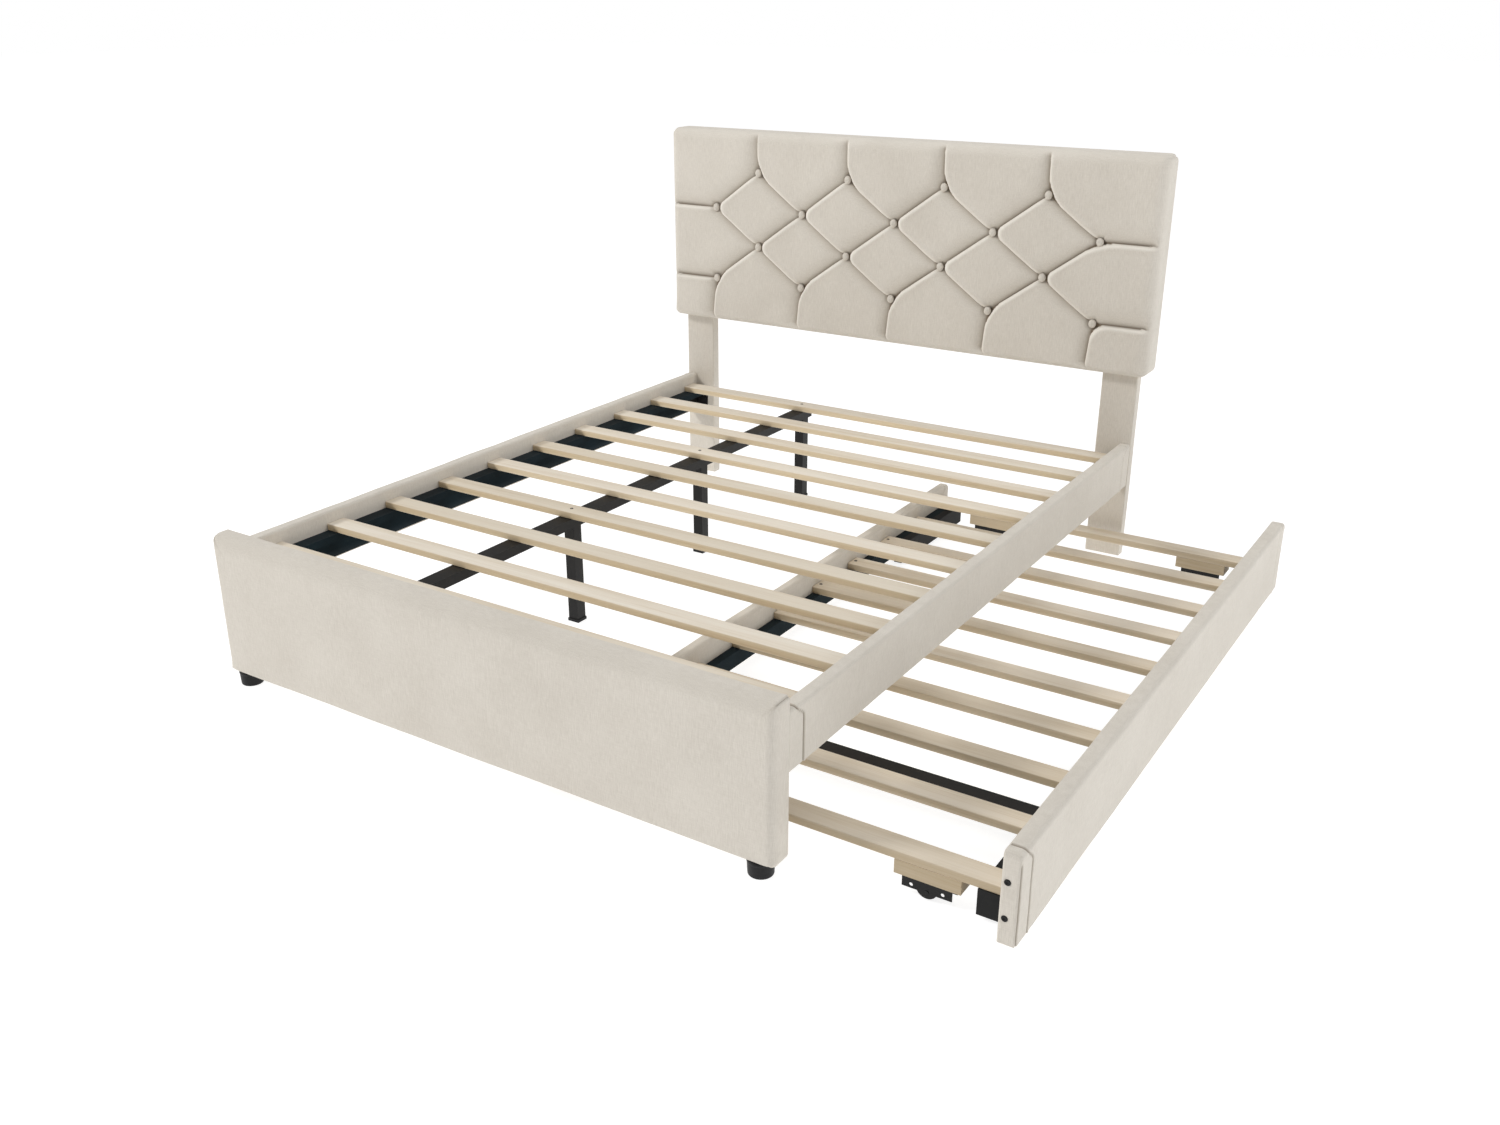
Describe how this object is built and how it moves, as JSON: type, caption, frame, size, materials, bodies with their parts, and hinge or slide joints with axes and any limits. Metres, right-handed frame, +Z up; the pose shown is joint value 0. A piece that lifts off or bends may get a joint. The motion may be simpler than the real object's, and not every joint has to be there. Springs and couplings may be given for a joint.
{
  "type": "trundle bed",
  "caption": "Upholstered slatted bed with a button-tufted headboard and a low slatted trundle on casters that slides out from under one side.",
  "frame": {"origin": "bottom centre of the whole object's box with the trundle pulled out to its modelled position, on the floor", "axes": "+Z up; +X from the bed towards the side where the trundle comes out; +Y from the footboard to the headboard"},
  "size_m": [2.104, 2.07, 1.19],
  "materials": {
    "upholstery": "cream linen-look polyester weave, matt",
    "pine": "planed pale softwood, unvarnished",
    "plywood": "raw plywood inside the upholstery",
    "lining": "blue-black non-woven lining over timber",
    "black_timber": "timber stained matt black",
    "black_steel": "black powder coat, satin",
    "black_fastener": "black oxide, satin",
    "black_plastic": "black moulded plastic",
    "wheel_nylon": "black nylon"
  },
  "bodies": {
    "bed": {"headboard_frame": "plywood", "headboard_pad": "upholstery", "tuft_buttons": "upholstery", "headboard_leg_left": "upholstery", "headboard_leg_right": "upholstery", "frame_bolts": "black_fastener", "footboard_board": "plywood", "footboard_cover": "upholstery", "footboard_feet": "black_plastic", "side_rail_left_board": "plywood", "side_rail_left_cover": "upholstery", "side_rail_right_board": "plywood", "side_rail_right_cover": "upholstery", "ledger_left": "lining", "ledger_right": "lining", "centre_beam": "black_steel", "centre_leg_1": "black_steel", "centre_leg_2": "black_steel", "centre_leg_3": "black_steel", "centre_leg_caps": "black_plastic", "corner_brackets": "black_steel", "slat_screws": "black_fastener", "slat_1": "pine", "slat_2": "pine", "slat_3": "pine", "slat_4": "pine", "slat_5": "pine", "slat_6": "pine", "slat_7": "pine", "slat_8": "pine", "slat_9": "pine", "slat_10": "pine"},
    "trundle": {"trundle_front_board": "plywood", "trundle_front_cover": "upholstery", "trundle_rear_board": "plywood", "trundle_rear_cover": "upholstery", "trundle_ledger_front": "black_timber", "trundle_ledger_rear": "lining", "trundle_frame_rail": "black_timber", "trundle_stiffeners": "black_timber", "trundle_cross_bar": "black_steel", "trundle_screws": "black_fastener", "panel_bolts": "black_fastener", "caster_blocks": "pine", "caster_brackets": "black_steel", "caster_axles": "black_fastener", "trundle_slat_1": "pine", "trundle_slat_2": "pine", "trundle_slat_3": "pine", "trundle_slat_4": "pine", "trundle_slat_5": "pine", "trundle_slat_6": "pine", "trundle_slat_7": "pine", "trundle_slat_8": "pine", "trundle_slat_9": "pine", "trundle_slat_10": "pine"},
    "wheel_front_foot": {"wheel_front_foot": "wheel_nylon"},
    "wheel_front_head": {"wheel_front_head": "wheel_nylon"},
    "wheel_rear_foot": {"wheel_rear_foot": "wheel_nylon"},
    "wheel_rear_head": {"wheel_rear_head": "wheel_nylon"}
  },
  "joints": [
    {"name": "trundle_slide", "type": "slide", "parent": "bed", "child": "trundle", "axis": [1, 0, 0], "range_m": [-0.47, 0.62]},
    {"name": "wheel_front_foot_spin", "type": "hinge", "parent": "trundle", "child": "wheel_front_foot", "pos_m": [0.848, -0.9, 0.0175], "axis": [0, 1, 0], "continuous": true},
    {"name": "wheel_front_head_spin", "type": "hinge", "parent": "trundle", "child": "wheel_front_head", "pos_m": [0.848, 0.9144, 0.0175], "axis": [0, 1, 0], "continuous": true},
    {"name": "wheel_rear_foot_spin", "type": "hinge", "parent": "trundle", "child": "wheel_rear_foot", "pos_m": [0.192, -0.9, 0.0175], "axis": [0, 1, 0], "continuous": true},
    {"name": "wheel_rear_head_spin", "type": "hinge", "parent": "trundle", "child": "wheel_rear_head", "pos_m": [0.192, 0.9144, 0.0175], "axis": [0, 1, 0], "continuous": true}
  ],
  "couplings": [
    {"joint": "wheel_front_foot_spin", "follows": "trundle_slide", "rad_per_m": 57.143},
    {"joint": "wheel_front_head_spin", "follows": "trundle_slide", "rad_per_m": 57.143},
    {"joint": "wheel_rear_foot_spin", "follows": "trundle_slide", "rad_per_m": 57.143},
    {"joint": "wheel_rear_head_spin", "follows": "trundle_slide", "rad_per_m": 57.143}
  ]
}
